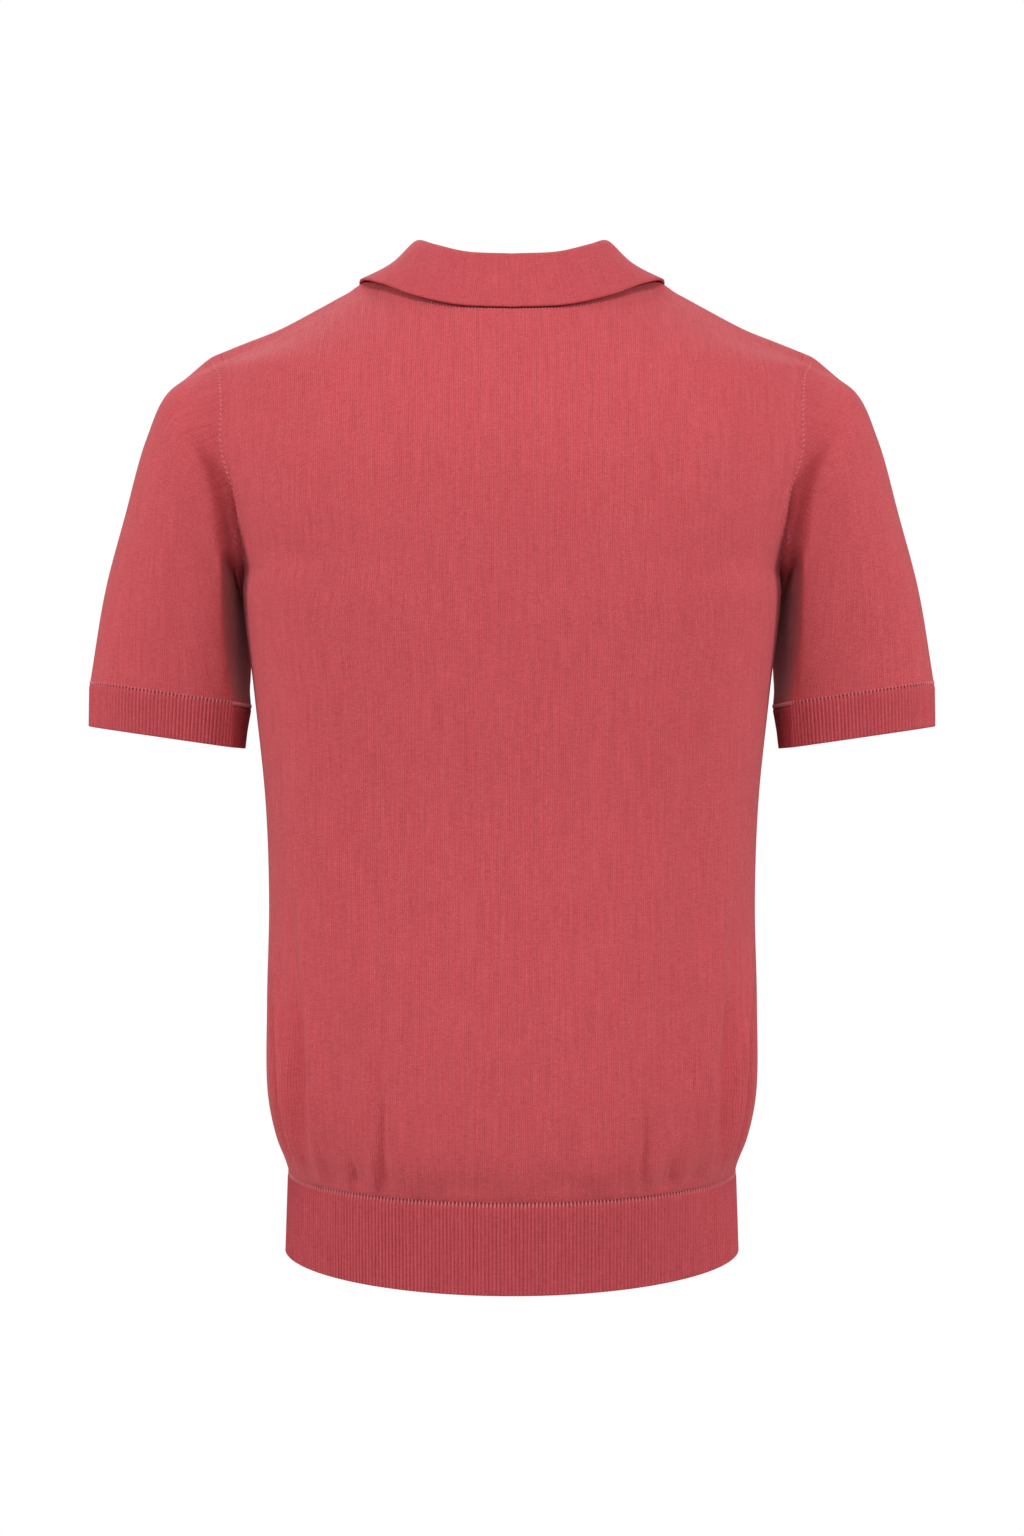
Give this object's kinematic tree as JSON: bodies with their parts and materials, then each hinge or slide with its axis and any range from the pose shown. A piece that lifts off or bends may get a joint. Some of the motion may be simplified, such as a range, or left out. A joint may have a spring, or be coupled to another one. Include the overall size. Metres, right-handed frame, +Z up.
{
  "type": "polo shirt",
  "caption": "Fine-knit short-sleeved polo shirt, filled out as worn, with a turned-down collar, a short buttoned placket, ribbed cuffs and a deep ribbed waistband under a bloused body.",
  "frame": {"origin": "middle of the neck at the height where the shirt rests on the shoulders beside it, where the wearer holds it up", "axes": "+Z up, +Y towards the wearer's back, +X towards the wearer's left"},
  "size_m": [0.5822, 0.2503, 0.7017],
  "materials": {
    "jersey": "fine flat knit in coral red, matt with a faint sheen",
    "rib": "ribbed knit in coral red, matt",
    "collar_knit": "fine double knit in coral red, matt",
    "button": "dark red, satin"
  },
  "bodies": {
    "root": {"back_panel": "jersey", "front_panel": "jersey", "sleeve_left": "jersey", "sleeve_right": "jersey", "cuff_left": "rib", "cuff_right": "rib", "waistband_back": "rib", "waistband_front": "rib", "collar": "collar_knit", "placket": "collar_knit", "placket_under": "collar_knit", "button_1": "button", "button_2": "button", "button_3": "button"}
  },
  "joints": []
}
